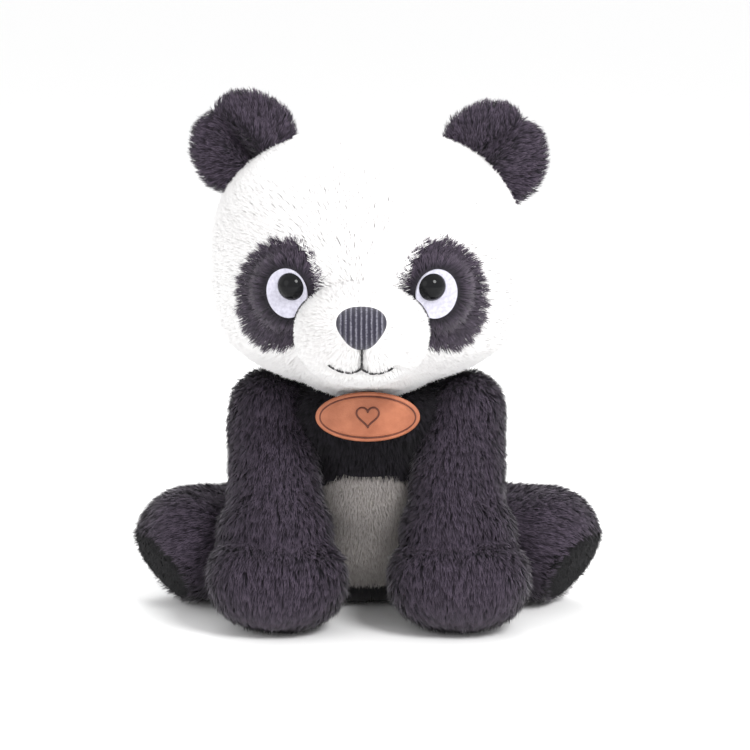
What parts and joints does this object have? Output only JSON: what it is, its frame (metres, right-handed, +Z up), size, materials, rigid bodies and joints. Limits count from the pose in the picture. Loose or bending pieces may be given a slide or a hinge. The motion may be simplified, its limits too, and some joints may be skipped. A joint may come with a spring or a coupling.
{
  "type": "plush panda",
  "caption": "Sitting plush panda soft toy with a swivelling head, sewn limbs and ears that flex, domed eyes and a leather tag",
  "frame": {"origin": "middle of the flat seat, on the surface that the toy sits on", "axes": "+Z up to the ears, -Y the way the panda faces, +X the panda's own left"},
  "size_m": [0.2142, 0.1648, 0.2335],
  "materials": {
    "white_plush": "matte",
    "dark_plush": "matte",
    "belly_plush": "matte",
    "sole_velvet": "matte",
    "stuffing": "matte",
    "pellet_cloth": "matte",
    "corduroy": "matte",
    "white_felt": "matte",
    "thread": "matte",
    "label_ribbon": "matte",
    "leather": "matte",
    "leather_backing": "matte",
    "eye_plastic": "gloss",
    "washer_plastic": "satin"
  },
  "bodies": {
    "torso": {"torso_cover": "dark_plush", "belly_panel": "belly_plush", "torso_stuffing": "stuffing", "pellet_bag": "pellet_cloth", "tag_strap": "leather", "care_label": "label_ribbon"},
    "neck": {"neck_cover": "dark_plush", "neck_stuffing": "stuffing"},
    "head": {"head_cover": "white_plush", "head_stuffing": "stuffing", "muzzle_cover": "white_plush", "muzzle_stuffing": "stuffing", "nose_cover": "corduroy", "nose_padding": "stuffing", "mouth_stitches": "thread", "eye_patch_right": "dark_plush", "eye_patch_left": "dark_plush", "eye_felt_right": "white_felt", "eye_felt_left": "white_felt", "eye_button_right": "eye_plastic", "eye_button_left": "eye_plastic", "eye_washer_right": "washer_plastic", "eye_washer_left": "washer_plastic"},
    "tail": {"tail_cover": "dark_plush", "tail_stuffing": "stuffing"},
    "tag": {"tag_front": "leather", "tag_backing": "leather_backing"},
    "ear_right": {"ear_front_right": "dark_plush", "ear_back_right": "dark_plush"},
    "arm_right": {"arm_cover_right": "dark_plush", "arm_stuffing_right": "stuffing"},
    "leg_right": {"leg_cover_right": "dark_plush", "leg_stuffing_right": "stuffing", "sole_pad_right": "sole_velvet"},
    "ear_left": {"ear_front_left": "dark_plush", "ear_back_left": "dark_plush"},
    "arm_left": {"arm_cover_left": "dark_plush", "arm_stuffing_left": "stuffing"},
    "leg_left": {"leg_cover_left": "dark_plush", "leg_stuffing_left": "stuffing", "sole_pad_left": "sole_velvet"}
  },
  "joints": [
    {"name": "head_turn", "type": "hinge", "parent": "torso", "child": "neck", "pos_m": [0, -0.003, 0.106], "axis": [0, 0, 1], "range_deg": [-20, 20], "stiffness_Nm_per_rad": 0.3},
    {"name": "head_nod", "type": "hinge", "parent": "neck", "child": "head", "pos_m": [0, -0.003, 0.106], "axis": [1, 0, 0], "range_deg": [-8, 3], "stiffness_Nm_per_rad": 1.2},
    {"name": "tail_bend", "type": "hinge", "parent": "torso", "child": "tail", "pos_m": [0, 0.055, 0.026], "axis": [1, 0, 0], "range_deg": [-12, 12], "stiffness_Nm_per_rad": 0.02},
    {"name": "tag_lift", "type": "hinge", "parent": "torso", "child": "tag", "pos_m": [0, -0.0405, 0.1042], "axis": [1, 0, 0], "range_deg": [-35, 0]},
    {"name": "ear_right_bend", "type": "hinge", "parent": "head", "child": "ear_right", "pos_m": [-0.04822, 0.002, 0.20111], "axis": [0.766, 0, 0.6428], "range_deg": [-15, 15], "stiffness_Nm_per_rad": 0.02},
    {"name": "arm_right_swing", "type": "hinge", "parent": "torso", "child": "arm_right", "pos_m": [-0.045, -0.008, 0.0845], "axis": [-1, 0, 0], "range_deg": [0, 30], "stiffness_Nm_per_rad": 0.04},
    {"name": "leg_right_swing", "type": "hinge", "parent": "torso", "child": "leg_right", "pos_m": [-0.045, 0.0205, 0.0264], "axis": [0, 0, -1], "range_deg": [0, 25], "stiffness_Nm_per_rad": 0.06},
    {"name": "ear_left_bend", "type": "hinge", "parent": "head", "child": "ear_left", "pos_m": [0.04875, 0.002, 0.19703], "axis": [0.7193, 0, -0.6947], "range_deg": [-15, 15], "stiffness_Nm_per_rad": 0.02},
    {"name": "arm_left_swing", "type": "hinge", "parent": "torso", "child": "arm_left", "pos_m": [0.045, -0.008, 0.0845], "axis": [-1, 0, 0], "range_deg": [0, 30], "stiffness_Nm_per_rad": 0.04},
    {"name": "leg_left_swing", "type": "hinge", "parent": "torso", "child": "leg_left", "pos_m": [0.045, 0.0205, 0.0264], "axis": [0, 0, 1], "range_deg": [0, 25], "stiffness_Nm_per_rad": 0.06}
  ]
}
